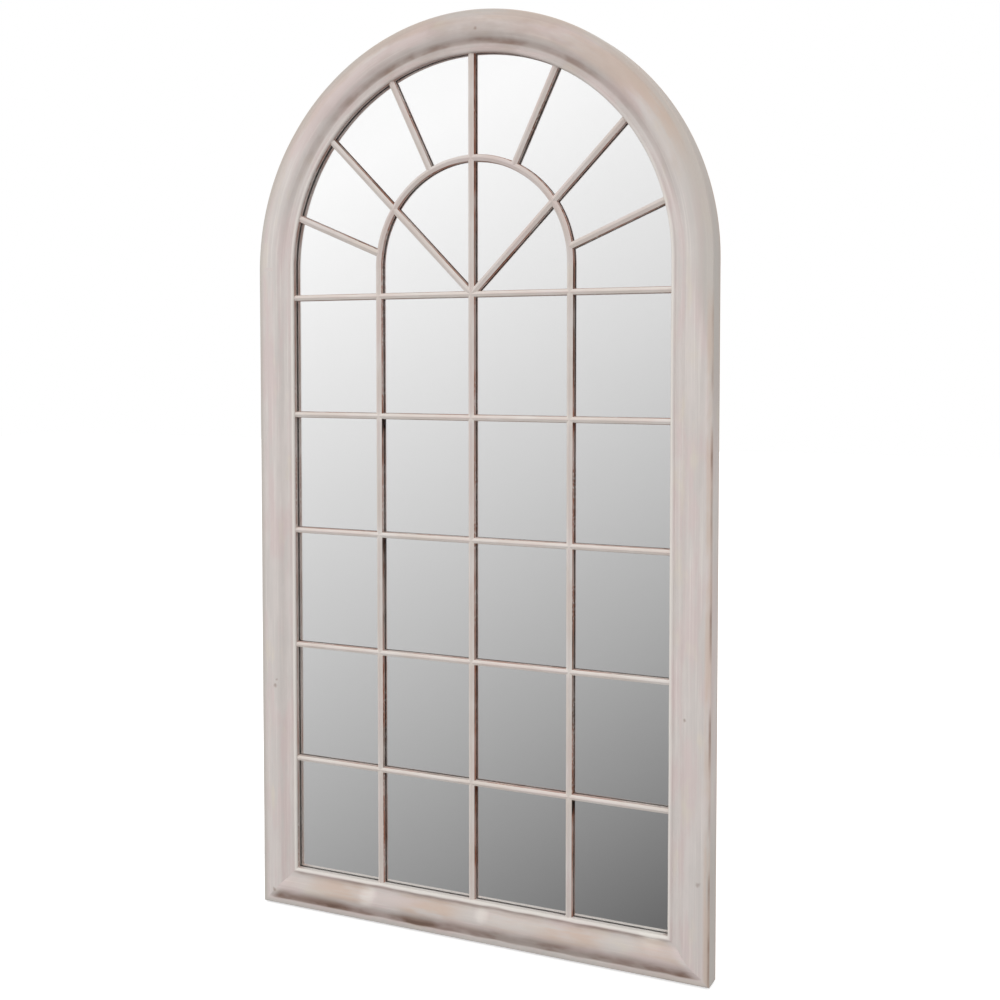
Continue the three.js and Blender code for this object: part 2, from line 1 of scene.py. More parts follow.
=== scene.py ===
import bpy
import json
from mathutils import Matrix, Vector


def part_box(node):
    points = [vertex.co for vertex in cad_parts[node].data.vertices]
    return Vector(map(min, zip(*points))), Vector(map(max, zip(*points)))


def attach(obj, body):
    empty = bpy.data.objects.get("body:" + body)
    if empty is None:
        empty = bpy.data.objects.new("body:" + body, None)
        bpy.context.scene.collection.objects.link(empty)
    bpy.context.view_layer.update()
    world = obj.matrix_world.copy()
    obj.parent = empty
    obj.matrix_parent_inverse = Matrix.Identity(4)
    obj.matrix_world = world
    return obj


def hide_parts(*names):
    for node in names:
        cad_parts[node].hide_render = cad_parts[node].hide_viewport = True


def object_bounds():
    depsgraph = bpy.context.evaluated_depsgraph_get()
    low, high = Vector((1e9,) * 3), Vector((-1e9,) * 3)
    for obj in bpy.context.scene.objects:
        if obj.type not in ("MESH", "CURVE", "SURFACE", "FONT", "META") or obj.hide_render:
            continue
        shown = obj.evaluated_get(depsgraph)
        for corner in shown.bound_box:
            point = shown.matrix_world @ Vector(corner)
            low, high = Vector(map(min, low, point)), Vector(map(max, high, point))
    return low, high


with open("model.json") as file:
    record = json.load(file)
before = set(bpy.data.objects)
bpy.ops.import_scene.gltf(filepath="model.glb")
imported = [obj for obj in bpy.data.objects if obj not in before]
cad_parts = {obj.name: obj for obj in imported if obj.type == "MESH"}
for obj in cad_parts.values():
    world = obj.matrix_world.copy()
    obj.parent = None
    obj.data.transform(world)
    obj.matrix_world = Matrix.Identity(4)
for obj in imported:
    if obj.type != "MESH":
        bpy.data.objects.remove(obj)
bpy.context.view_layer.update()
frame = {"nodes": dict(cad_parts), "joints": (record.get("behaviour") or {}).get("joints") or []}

import json
import math

import bmesh
import bpy
from mathutils import Matrix, Vector, noise

# ---- Camera -------------------------------------------------------------------
# The photograph is taken from the mirror's right, a little above its middle, looking
# slightly down. The lens is raised, as a view camera's is, so that the uprights stay upright.
EYE = (0.7222, -1.4930, -0.0920)
TURN_LEFT = 25.0
TILT_DOWN = 2.63
LENS_PIXELS = 1363.2
HORIZON_ROW = 425
PICTURE = 1000

scene = bpy.context.scene
camera_data = bpy.data.cameras.new("photographer")
camera = bpy.data.objects.new("photographer", camera_data)
scene.collection.objects.link(camera)
camera.location = EYE
camera.rotation_euler = (math.radians(90 - TILT_DOWN), 0, math.radians(TURN_LEFT))
camera_data.sensor_width = 36
camera_data.lens = LENS_PIXELS / PICTURE * camera_data.sensor_width
camera_data.shift_y = (HORIZON_ROW - PICTURE / 2) / PICTURE
camera_data.clip_start = 0.01
camera_data.clip_end = 100
scene.camera = camera
scene.view_settings.view_transform = "Standard"


# ---- Studio ---------------------------------------------------------------------
# A white sweep of floor, a soft sky that is brightest overhead, and a large soft box above
# and in front. The far end of the room, which only the pane shows, runs from white overhead
# to grey lower down and towards the right, with the pale floor below.
def add_node(tree, kind, inputs=None, **settings):
    """A shader node with its settings, and its inputs given by name or number."""
    node = tree.nodes.new("ShaderNode" + kind)
    for name, value in settings.items():
        setattr(node, name, value)
    for name, value in (inputs or {}).items():
        socket = node.inputs[name]
        if isinstance(value, bpy.types.NodeSocket):
            tree.links.new(value, socket)
        else:
            socket.default_value = value
    return node


def maths(tree, operation, *values, clamp=False):
    """The result of a Math node."""
    inputs = dict(enumerate(values))
    return add_node(tree, "Math", inputs, operation=operation, use_clamp=clamp).outputs[0]


def blend(tree, share, first, second, mode="MIX"):
    """The colour that a Mix node gives."""
    node = add_node(tree, "Mix", data_type="RGBA", blend_type=mode)
    for number, value in ((0, share), (6, first), (7, second)):
        if isinstance(value, bpy.types.NodeSocket):
            tree.links.new(value, node.inputs[number])
        else:
            node.inputs[number].default_value = value
    return node.outputs[2]


def new_material(name):
    """A material with an empty node tree, and that tree."""
    material = bpy.data.materials.new(name)
    material.use_nodes = True
    material.node_tree.nodes.clear()
    return material, material.node_tree


def new_piece(name, bm):
    """An object with the finished mesh, linked to the scene."""
    mesh = bpy.data.meshes.new(name)
    bm.to_mesh(mesh)
    bm.free()
    piece = bpy.data.objects.new(name, mesh)
    scene.collection.objects.link(piece)
    return piece


def tint(red, green, blue):
    """A paint colour, given as it looks on a screen from 0 to 255."""
    linear = [c / 3294.6 if c <= 10.31 else ((c / 255 + 0.055) / 1.055) ** 2.4
              for c in (red, green, blue)]
    return (*linear, 1)


SKY_OVERHEAD = 1.10
SKY_LEVEL = 0.74
SKY_BELOW = 0.34
ROOM_AT_HORIZON = 0.415
ROOM_PER_HEIGHT = 1.28
ROOM_PER_LEFT = 0.80
ROOM_LEFT_LEAST = 0.24
ROOM_DARKEST = 0.10
ROOM_FLOOR = 0.50
ROOM_FLOOR_STARTS = -0.44
ROOM_FLOOR_FULL = -0.78

world = bpy.data.worlds.new("studio")
world.use_nodes = True
scene.world = world
sky = world.node_tree
sky.nodes.clear()
ray = add_node(sky, "LightPath")
way = add_node(sky, "SeparateXYZ", {0: add_node(sky, "TexCoord").outputs["Generated"]})
upward = way.outputs[2]
leftward = maths(sky, "MAXIMUM", maths(sky, "MULTIPLY", way.outputs[0], -1.0), ROOM_LEFT_LEAST)
room = maths(sky, "ADD", ROOM_AT_HORIZON,
             maths(sky, "ADD", maths(sky, "MULTIPLY", upward, ROOM_PER_HEIGHT),
                   maths(sky, "MULTIPLY", leftward, ROOM_PER_LEFT)))
room_floor = add_node(sky, "MapRange", {
    0: upward, 1: ROOM_FLOOR_FULL, 2: ROOM_FLOOR_STARTS, 3: ROOM_FLOOR, 4: ROOM_DARKEST},
    interpolation_type="SMOOTHSTEP")
room = maths(sky, "MINIMUM", maths(sky, "MAXIMUM", room, room_floor.outputs[0]), 1.0)
dome = add_node(sky, "MapRange", {0: upward, 1: -1.0, 2: 0.0, 3: SKY_BELOW, 4: SKY_LEVEL})
dome_top = add_node(sky, "MapRange", {0: upward, 1: 0.0, 2: 1.0, 3: 0.0,
                                      4: SKY_OVERHEAD - SKY_LEVEL})
soft = maths(sky, "ADD", dome.outputs[0], dome_top.outputs[0])
in_pane = maths(sky, "MAXIMUM", ray.outputs["Is Glossy Ray"], ray.outputs["Is Transmission Ray"])
seen = add_node(sky, "Mix", {0: in_pane, 2: soft, 3: room}, data_type="FLOAT").outputs[0]
seen = add_node(sky, "Mix", {0: ray.outputs["Is Camera Ray"], 2: seen, 3: 1.0},
                data_type="FLOAT").outputs[0]
background = add_node(sky, "Background", {"Color": (1, 1, 1, 1), "Strength": seen})
add_node(sky, "OutputWorld", {"Surface": background.outputs[0]})

cad_low, cad_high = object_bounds()
FLOOR_GAP = 0.002
FLOOR_HALF = 9.0
PAPER = (0.62, 0.62, 0.62, 1)
PAPER_GLOW = 0.62
bm = bmesh.new()
bmesh.ops.create_grid(bm, x_segments=2, y_segments=2, size=FLOOR_HALF)
bmesh.ops.translate(bm, verts=bm.verts, vec=(0, 0, cad_low.z - FLOOR_GAP))
floor = new_piece("floor", bm)
floor.visible_glossy = False
floor.visible_transmission = False
paper, tree = new_material("white_paper")
ray = add_node(tree, "LightPath")
matt = add_node(tree, "BsdfDiffuse", {"Color": PAPER})
glow = add_node(tree, "Emission", {
    "Color": (1, 1, 1, 1),
    "Strength": maths(tree, "MULTIPLY", ray.outputs["Is Camera Ray"], PAPER_GLOW)})
both = add_node(tree, "AddShader", {0: matt.outputs[0], 1: glow.outputs[0]})
add_node(tree, "OutputMaterial", {"Surface": both.outputs[0]})
floor.data.materials.append(paper)

SOFT_BOX_PLACE = (-0.6, -2.6, 2.3)
SOFT_BOX_AIM = (0, 0, -0.1)
SOFT_BOX_SIZE = 1.6
SOFT_BOX_WATTS = 29
lamp = bpy.data.lights.new("soft_box", "AREA")
lamp.shape = "SQUARE"
lamp.size = SOFT_BOX_SIZE
lamp.energy = SOFT_BOX_WATTS
soft_box = bpy.data.objects.new("soft_box", lamp)
scene.collection.objects.link(soft_box)
soft_box.location = SOFT_BOX_PLACE
soft_box.rotation_mode = "QUATERNION"
aim = Vector(SOFT_BOX_AIM) - Vector(SOFT_BOX_PLACE)
soft_box.rotation_quaternion = aim.to_track_quat("-Z", "Y")
soft_box.visible_glossy = False
soft_box.visible_transmission = False


# ---- Frame: bottom rail, jambs and the two quarters of the arch -------------------
# Softwood moulding with a broad swell, a bead at the sight edge and a rebate behind, mitred
# at the bottom and butted round the turned arch. It is stained brown, painted a thin chalky
# white and rubbed back, so that the brown stays in the recesses and comes out on the edges.
# The brown on slopes that face down and on the sight wall is partly painted shade, and the
# bead and the outer edge carry painted highlights and painted shade.
MM = 0.001

# Depths are measured from the back of the frame, and insets from its outer edge.
rail_low, rail_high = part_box("bottom_rail")
UNDERSIDE = rail_low.z
BACK = rail_high.y
RADIUS = cad_high.x
SPRING = cad_high.z - RADIUS
FACE = rail_high.z - rail_low.z
CREST = BACK - rail_low.y
SIDE = 26 * MM
ARRIS = 1.8 * MM
MARGIN = 7.5 * MM
SWELL_CREST_INSET = 24 * MM
SWELL_OUTER_FOOT = 25.8 * MM
SWELL_OUTER_LEAN = 0.72
SWELL_INNER_LEAN = 1.3
GROOVE_START = 39.8 * MM
GROOVE_FLOOR = 23.4 * MM
BEAD = 6.5 * MM
BEAD_FOOT = 22 * MM
BEAD_RISE = 2.5 * MM
BEAD_OPEN = 0.2
SEAT = 16.3 * MM
REBATE = 42 * MM
JOINT = 0.004 * MM
STEP_ACROSS = 1.4 * MM
STEP_ALONG = 5 * MM
ARCH_STEPS = 96
RIPPLE = 0.3 * MM
BROAD_RIPPLES = 14
SHORT_RIPPLES = 55
TIMBER_SHARP = 38


def group_with(name, ins, outs):
    """A node group with named inputs and outputs, each (name, kind)."""
    group = bpy.data.node_groups.new(name, "ShaderNodeTree")
    for label, kind in ins:
        group.interface.new_socket(label, in_out="INPUT", socket_type="NodeSocket" + kind)
    for label, kind in outs:
        group.interface.new_socket(label, in_out="OUTPUT", socket_type="NodeSocket" + kind)
    source = group.nodes.new("NodeGroupInput")
    target = group.nodes.new("NodeGroupOutput")
    return group, source.outputs, target.inputs


def stretched_noise(tree, grain, across, along, detail, rough, offset=0.0):
    """Noise stretched along the grain: marks this many per metre across and along."""
    mapping = add_node(tree, "Mapping", {"Vector": grain, "Location": (offset, offset, offset),
                                         "Scale": (across, across, along)})
    node = add_node(tree, "TexNoise", {"Vector": mapping.outputs[0], "Scale": 1.0,
                                       "Detail": detail, "Roughness": rough})
    return node.outputs["Fac"]


def between(tree, value, low, high, smooth=True):
    """0 where the value is below low, 1 above high."""
    kind = "SMOOTHSTEP" if smooth else "LINEAR"
    return add_node(tree, "MapRange", {0: value, 1: low, 2: high, 3: 0.0, 4: 1.0},
                    interpolation_type=kind).outputs[0]


CHALK = tint(215, 207, 203)
CHALK_GREY = tint(209, 202, 198)
CHALK_PINK = tint(213, 199, 196)
CHALK_CREAM = tint(216, 207, 197)
CHALK_BRIGHT = tint(236, 231, 224)
CHALK_SHADED = tint(188, 182, 175)
TAN = tint(203, 181, 166)
BROWN = tint(136, 110, 97)
RUST = tint(168, 102, 74)
DARK_BROWN_AND_SHADE = tint(64, 53, 48)

# Marks per metre, across the grain and along it.
PATCHES = (48, 13)
PINK_PATCHES = (55, 11)
CREAM_PATCHES = (40, 18)
STREAKS = (420, 7)
FIBRES = (1500, 60)
DABS = (700, 260)

# The coat over the stain. The stain input shows brown through it: the real stain, and painted
# shade on slopes that face down and on the sight wall. Worn above 0 rubs it to tan and below 0
# makes the stain redder. The last input brightens it with painted highlights and pale blotches
# of wash, and below 0 dulls it with painted shade.
limewash, given, result = group_with(
    "rubbed_whitewash",
    [("Grain", "Vector"), ("Stain_with_shade", "Float"), ("Worn", "Float"), ("Lift", "Float")],
    [("Color", "Color"), ("Roughness", "Float"), ("Height", "Float")])
grain = given["Grain"]
patches = stretched_noise(limewash, grain, *PATCHES, 3.0, 0.55)
pink_patches = stretched_noise(limewash, grain, *PINK_PATCHES, 3.0, 0.55, 4.7)
cream_patches = stretched_noise(limewash, grain, *CREAM_PATCHES, 3.0, 0.55, 9.1)
streaks = stretched_noise(limewash, grain, *STREAKS, 3.0, 0.6, 2.3)
fine = stretched_noise(limewash, grain, *FIBRES, 2.0, 0.6, 6.6)
colour = blend(limewash, between(limewash, patches, 0.38, 0.62), CHALK, CHALK_GREY)
colour = blend(limewash, between(limewash, pink_patches, 0.43, 0.64), colour, CHALK_PINK)
colour = blend(limewash, between(limewash, cream_patches, 0.55, 0.75), colour, CHALK_CREAM)
colour = blend(limewash, maths(limewash, "MULTIPLY", between(limewash, streaks, 0.54, 0.70), 0.25),
               colour, CHALK_BRIGHT)
# Streaks of thicker and thinner wash, lighter and darker at random along the grain.
shade = maths(limewash, "ADD", 0.92, maths(limewash, "MULTIPLY", streaks, 0.15))
colour = blend(limewash, 1.0, colour, add_node(
    limewash, "CombineColor", {0: shade, 1: shade, 2: shade}).outputs[0], "MULTIPLY")
# Above 0, painted highlights and pale blotches of wash; below 0, painted shade in the shaded chalk
# colour.
colour = blend(limewash, maths(limewash, "MAXIMUM", given["Lift"], 0.0), colour, CHALK_BRIGHT)
colour = blend(limewash, maths(limewash, "MULTIPLY", given["Lift"], -1.0, clamp=True), colour,
               CHALK_SHADED)
rubbed = maths(limewash, "MULTIPLY", maths(limewash, "MAXIMUM", given["Worn"], 0.0),
               between(limewash, maths(limewash, "ADD", patches, maths(
                   limewash, "MULTIPLY", streaks, 0.35)), 0.50, 0.78))
colour = blend(limewash, rubbed, colour, TAN)
# How much brown shows: the stain, and the painted shade that comes in with it.
brown_and_shade = maths(limewash, "MULTIPLY", given["Stain_with_shade"],
                   maths(limewash, "ADD", 0.62, maths(
                       limewash, "MULTIPLY", between(limewash, cream_patches, 0.35, 0.65), 0.6)),
                   clamp=True)
dabs = stretched_noise(limewash, grain, *DABS, 2.0, 0.6, 3.3)
reddish = maths(limewash, "MULTIPLY", given["Worn"], -1.0, clamp=True)
dabbed = maths(limewash, "MULTIPLY", between(limewash, dabs, 0.50, 0.60),
               maths(limewash, "MULTIPLY", between(limewash, patches, 0.50, 0.58), reddish))
brown_and_shade = maths(limewash, "MULTIPLY", brown_and_shade,
                   maths(limewash, "SUBTRACT", 1.0, maths(limewash, "MULTIPLY", dabbed, 0.85)))
brown = blend(limewash, maths(limewash, "MULTIPLY", reddish,
                              between(limewash, pink_patches, 0.32, 0.50)), BROWN, RUST)
# Brown for stain and painted shade, and dark brown where there is most of both.
colour = blend(limewash, between(limewash, brown_and_shade, 0.0, 0.8, False), colour, brown)
colour = blend(limewash, between(limewash, brown_and_shade, 0.70, 1.0), colour, DARK_BROWN_AND_SHADE)
limewash.links.new(colour, result["Color"])
limewash.links.new(maths(limewash, "ADD", 0.62, maths(limewash, "MULTIPLY", fine, 0.2)),
                   result["Roughness"])
limewash.links.new(maths(limewash, "ADD", maths(limewash, "MULTIPLY", streaks, 0.7),
                         maths(limewash, "MULTIPLY", fine, 0.3)), result["Height"])

# Knots and knocks: a shallow hollow at x and z in metres, and its radius in millimetres.
KNOTS = ((0.2873, -0.6787, 4.4), (-0.2811, -0.7772, 4.2), (-0.2769, -0.5084, 4.2),
         (0.2711, -0.4934, 3.4), (0.0111, 0.3000, 3.4), (-0.2745, -0.5005, 2.8))

knock, given, result = group_with(
    "knock", [("Place", "Vector"), ("Centre", "Vector"), ("Radius", "Float")],
    [("Hollow", "Float")])
flat = add_node(knock, "VectorMath", {0: given["Place"], 1: (1, 0, 1)}, operation="MULTIPLY")
uneven = add_node(knock, "TexNoise", {"Vector": given["Place"], "Scale": 260.0, "Detail": 1.0})
gap = add_node(knock, "VectorMath", {0: flat.outputs[0], 1: given["Centre"]},
               operation="DISTANCE").outputs["Value"]
share = maths(knock, "DIVIDE", gap, given["Radius"])
share = maths(knock, "ADD", share, maths(knock, "MULTIPLY", uneven.outputs["Fac"], 0.9))
knock.links.new(maths(knock, "SUBTRACT", 1.0, between(knock, share, 0.55, 1.35)),
                result["Hollow"])

BARE_PINE = tint(196, 166, 126)
BARE_PINE_DARK = tint(166, 128, 88)
PAINT_STARTS = 0.4 * MM
PAINT_FULL = 2.2 * MM
whitewash, tree = new_material("whitewash")
grain = add_node(tree, "Attribute", attribute_name="grain").outputs["Vector"]
# Per vertex: stain with painted shade, wear, and painted highlights and painted shade.
finish_and_light = add_node(tree, "SeparateXYZ", {
    0: add_node(tree, "Attribute", attribute_name="finish_and_light").outputs["Vector"]})
in_grain = add_node(tree, "SeparateXYZ", {0: grain})
inset, depth = in_grain.outputs[0], in_grain.outputs[1]
place = add_node(tree, "TexCoord").outputs["Object"]
hollow = 0.0
for x, z, radius in KNOTS:
    spot = add_node(tree, "Group", {"Place": place, "Centre": (x, 0, z), "Radius": radius * MM},
                    node_tree=knock)
    hollow = maths(tree, "MAXIMUM", hollow, spot.outputs[0])
coat = add_node(tree, "Group", {
    "Grain": grain, "Stain_with_shade": finish_and_light.outputs[0], "Worn": finish_and_light.outputs[1],
    "Lift": finish_and_light.outputs[2]}, node_tree=limewash)
colour = blend(tree, maths(tree, "MULTIPLY", hollow, 0.5), coat.outputs["Color"], BROWN)
growth_rings = add_node(tree, "TexWave", {
    "Vector": add_node(tree, "Mapping", {"Vector": grain, "Scale": (1, 1, 0.05)}).outputs[0],
    "Scale": 110.0, "Distortion": 5.0, "Detail": 2.0, "Detail Scale": 2.5}, bands_direction="X")
pine = blend(tree, growth_rings.outputs["Fac"], BARE_PINE_DARK, BARE_PINE)
in_rebate = maths(tree, "MULTIPLY", between(tree, inset, REBATE - 0.5 * MM, REBATE - 0.2 * MM),
                  between(tree, depth, SEAT - 0.2 * MM, SEAT - 0.6 * MM))
painted = maths(tree, "MULTIPLY", between(tree, depth, PAINT_STARTS, PAINT_FULL),
                maths(tree, "SUBTRACT", 1.0, in_rebate))
colour = blend(tree, painted, pine, colour)
height = maths(tree, "SUBTRACT", coat.outputs["Height"], maths(tree, "MULTIPLY", hollow, 1.6))
relief = add_node(tree, "Bump", {"Height": height, "Strength": 0.4, "Distance": 0.0004})
paint = add_node(tree, "BsdfPrincipled", {
    "Base Color": colour, "Roughness": coat.outputs["Roughness"],
    "Normal": relief.outputs[0], "Specular IOR Level": 0.3})
add_node(tree, "OutputMaterial", {"Surface": paint.outputs[0]})


def half_round(middle, foot, half, rise, steps, first):
    """The upper half of an ellipse, or what follows its first part, towards the pane."""
    turns = [math.pi * (1 - first - (1 - first) * i / steps) for i in range(steps + 1)]
    return [(middle + half * math.cos(t), foot + rise * math.sin(t)) for t in turns]


def wave_between(start, end, lean, steps):
    """A hollow that turns into a round, between two levels. Lean moves its steepest part."""
    points = []
    for i in range(steps + 1):
        share = i / steps
        rise = (1 - math.cos(math.pi * share ** lean)) / 2
        points.append((start[0] + (end[0] - start[0]) * share,
                       start[1] + (end[1] - start[1]) * rise))
    return points


def split_long_runs(outline, longest):
    """The same closed outline with points added, so that no side is longer than this."""
    points = []
    for here, there in zip(outline, outline[1:] + outline[:1]):
        here, there = Vector(here), Vector(there)
        parts = max(1, math.ceil((there - here).length / longest))
        points += [here.lerp(there, i / parts) for i in range(parts)]
    return points


def moulding_outline():
    """Points (inset from the outer edge, depth from the back) round the moulding."""
    arris = [(ARRIS - ARRIS * math.cos(t), SIDE - ARRIS + ARRIS * math.sin(t))
             for t in (math.radians(15 * i) for i in range(7))]
    crest = (SWELL_CREST_INSET, CREST)
    swell = wave_between((MARGIN, SWELL_OUTER_FOOT), crest, SWELL_OUTER_LEAN, 20)
    swell += wave_between(crest, (GROOVE_START, GROOVE_FLOOR), SWELL_INNER_LEAN, 22)[1:]
    bead = half_round(FACE - BEAD / 2, BEAD_FOOT, BEAD / 2, BEAD_RISE, 16, BEAD_OPEN)
    sight_wall = [(FACE, SEAT), (REBATE, SEAT), (REBATE, 0)]
    margin = [(MARGIN - MM, SIDE)]
    return split_long_runs([(0, 0)] + arris + margin + swell + bead + sight_wall, STEP_ACROSS)


def outline_ring(bm, outline, place):
    """A closed ring of vertices and edges, each outline point put in the room by place."""
    ring = [bm.verts.new(place(*point)) for point in outline]
    return [bm.edges.new((a, b)) for a, b in zip(ring, ring[1:] + ring[:1])]


def run_on(bm, edges, steps, travel):
    """Extrudes a ring of edges in equal steps along a travel, and gives the last ring."""
    for _ in range(steps):
        made = bmesh.ops.extrude_edge_only(bm, edges=edges)["geom"]
        bmesh.ops.translate(bm, vec=travel / steps,
                            verts=[v for v in made if isinstance(v, bmesh.types.BMVert)])
        edges = [e for e in made if isinstance(e, bmesh.types.BMEdge)]
        edges = [e for e in edges if len(e.link_faces) == 1]
    return edges


def bend_on(bm, edges, steps, centre, degrees):
    """Spins a ring of edges about an axis that runs from front to back: the last ring."""
    made = bmesh.ops.spin(bm, geom=edges, cent=centre, axis=(0, 1, 0),
                          angle=math.radians(degrees), steps=steps)["geom_last"]
    return [e for e in made if isinstance(e, bmesh.types.BMEdge)]


def close_ends(bm, first, last):
    """Fills the first and the last ring of edges with a face each."""
    for end in (first, last):
        bmesh.ops.contextual_create(bm, geom=end)


def stretch_mitres(bm, along, start, end, start_slope, end_slope, inset_of):
    """Moves the vertices along one axis, so that the ends run out with the distance inwards."""
    for v in bm.verts:
        share = (v.co[along] - start) / (end - start)
        inset = inset_of(v.co)
        v.co[along] += inset * (start_slope * (1 - share) - end_slope * share)


# Where a point lies in its timber: across the grain, out from the back, and along the grain,
# which runs up the right jamb, round the arch and down the left jamb in one line.
JAMB_RUN = SPRING - UNDERSIDE


def right_jamb_grain(co):
    return Vector((RADIUS - co.x, BACK - co.y, co.z - UNDERSIDE))


def left_jamb_grain(co):
    return Vector((RADIUS + co.x, BACK - co.y, JAMB_RUN + math.pi * RADIUS + SPRING - co.z))


def rail_grain(co):
    return Vector((co.z - UNDERSIDE, BACK - co.y, co.x - 2 * RADIUS))


def arch_grain(co):
    from_centre = Vector((co.x, 0, co.z - SPRING))
    angle = math.atan2(from_centre.z, from_centre.x)
    return Vector((RADIUS - from_centre.length, BACK - co.y, JAMB_RUN + RADIUS * angle))


def sand(bm, grain_of):
    """Hand sanding leaves the front of the moulding slightly uneven, always inwards."""
    bmesh.ops.recalc_face_normals(bm, faces=bm.faces)
    bm.normal_update()
    for v in bm.verts:
        front = min(1, max(0, (grain_of(v.co).y - SEAT - 4 * MM) / (3 * MM)))
        waves = 0.7 * noise.noise(v.co * BROAD_RIPPLES)
        waves += 0.3 * noise.noise(v.co * SHORT_RIPPLES + Vector((7, 3, 5)))
        v.co -= v.normal * RIPPLE * front * min(1, max(0, 0.5 + 0.8 * waves))


def shade_softly(piece, sharpest):
    """Smooth shading, except where two faces meet at more than an angle in degrees."""
    for face in piece.data.polygons:
        face.use_smooth = True
    piece.data.set_sharp_from_angle(angle=math.radians(sharpest))


def timber_piece(name, bm, grain_of, finish_and_light_of):
    """Finishes a timber piece: keeps its grain directions, its stain with painted shade, its wear,
    and its painted highlights and shade.
    """
    bmesh.ops.remove_doubles(bm, verts=bm.verts, dist=1e-6)
    bmesh.ops.recalc_face_normals(bm, faces=bm.faces)
    grain_layer = bm.verts.layers.float_vector.new("grain")
    finish_and_light_layer = bm.verts.layers.float_vector.new("finish_and_light")
    for v in bm.verts:
        v[grain_layer] = grain_of(v.co)
        v[finish_and_light_layer] = finish_and_light_of(v.co, v[grain_layer])
    piece = new_piece("painted_" + name, bm)
    shade_softly(piece, TIMBER_SHARP)
    piece.data.materials.append(whitewash)
    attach(piece, "frame")
    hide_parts(name)


def rise_between(value, low, high):
    """0 below low, 1 above high and a smooth rise between."""
    share = min(1, max(0, (value - low) / (high - low)))
    return share * share * (3 - 2 * share)


def band(value, low, low_full, high_full, high):
    """1 between the two middle values, falling smoothly to 0 at the outer two."""
    return rise_between(value, low, low_full) * (1 - rise_between(value, high_full, high))


# Bands across the moulding, in millimetres of inset, and stretches along it, in metres of run.
ARRIS_BAND = (-3, -2, 1.2, 2.8)
MARGIN_BAND = (-3, -2, 5, 9)
OUTER_BAND = (-3, -2, 9, 20)
OUTER_FOOT_BAND = (6.2, 8.2, 11, 28)
SWELL_BAND = (3, 9, 24, 36)
RAIL_SWELL_BAND = (18, 26, 41, 46)
RAIL_CREST_BAND = (22, 29, 33, 42)
INNER_SLOPE_BAND = (29, 36.5, 39, 41.5)
BEAD_BAND = (41, 43.6, 45.5, 47.5)
# Stretches of run where the painted shade on the outer edge is lighter (right jamb), where it
# reaches further in (right arch past the springing), and where the arch is rubbed to peach.
LESS_SHADE_STRETCH = (0.12, 0.24, 0.55, 0.72)
WIDER_SHADE_STRETCH = (JAMB_RUN - 0.12, JAMB_RUN, JAMB_RUN + 0.12, JAMB_RUN + 0.32)
PEACH_STRETCH = (JAMB_RUN + 0.08, JAMB_RUN + 0.18, JAMB_RUN + 0.34, JAMB_RUN + 0.5)
MITRE_FADE = 14 * MM


def moulding_finish_and_light(grain, facing_up, to_mitre, worn_side):
    """Stain with painted shade, wear, and painted highlights and shade of the moulding. facing_up
    is 1 at the arch's crown and -1 on the rail, and slopes that face down get painted shade by it;
    worn_side says how far the outer arris is rubbed through."""
    depth = grain.y / MM
    run = grain.z
    over = max(0, facing_up)
    under = max(0, -facing_up) * rise_between(to_mitre, 0, MITRE_FADE)
    inset = grain.x / MM + under * 1.5 * noise.noise((run * 38, 0, 2))
    uneven = 1 + 0.5 * noise.noise((run * 16, 0, 5))
    front = rise_between(depth, 15, 17)
    on_jamb = 1 - rise_between(run, JAMB_RUN - 0.1, JAMB_RUN)

    # Painted shade laid in with the stain: on the swell's inner slope near the arch's crown, on
    # the swell's outer foot and the bead's outer slope along the rail, which face down, and on the
    # sight wall except along the rail, where it faces up. The arch is also browner near its crown.
    inner_slope = 0.62 * over ** 1.5 * band(inset, *INNER_SLOPE_BAND)
    outer_slope = 0.66 * under * band(inset, *OUTER_FOOT_BAND) * min(0.98, uneven)
    crown = 0.26 * over ** 2.5 * rise_between(inset, 2, 12)
    bead_slope = (0.05 + 0.30 * under) * band(inset, *BEAD_BAND)
    down_wall = 1 - rise_between(depth, 17, 20.6)
    on_wall = (1 - under) * rise_between(inset, 49.5, 49.9) * (
        1 - rise_between(depth, 20.3, 21.3)) * (0.66 - 0.44 * down_wall) * uneven
    worn_line = worn_side * on_jamb * band(inset, *ARRIS_BAND) * (
        rise_between(depth, 23.5, 25.2) * rise_between(uneven, 0.85, 1.15))
    stain_and_painted_shade = front * max(inner_slope, outer_slope, crown, bead_slope, on_wall, 0.55 * worn_line)

    margin_worn = 0.6 * worn_side * on_jamb * band(inset, *MARGIN_BAND) * (
        rise_between(depth, 22, 25))
    arch_worn = 0.8 * worn_side * band(inset, *SWELL_BAND) * band(run, *PEACH_STRETCH)
    crown_worn = 0.5 * over * band(inset, *OUTER_BAND)
    rail_worn = 0.8 * under * band(inset, *RAIL_SWELL_BAND) * rise_between(uneven, 0.7, 1.15)
    worn = max(margin_worn, arch_worn, crown_worn, rail_worn) - 0.9 * (on_wall > 0)

    # Painted highlight on the bead's inner half, less near the arch's crown. Painted shade on the
    # outer edge, less along the rail, and painted shade on the rail's crest.
    bead_highlight = front * (0.2 + 0.5 * (1 - over)) * rise_between(inset, 45.8, 48)
    shaded_to = 8 + 26 * band(run, *WIDER_SHADE_STRETCH)
    shaded = 0.75 * (1 - 0.25 * under) * (1 - 0.75 * band(run, *LESS_SHADE_STRETCH)) * (
        1 - rise_between(inset, 2, shaded_to))
    crest_painted_shade = 0.3 * under * band(inset, *RAIL_CREST_BAND)
    return Vector((stain_and_painted_shade, worn, bead_highlight - shaded - crest_painted_shade))


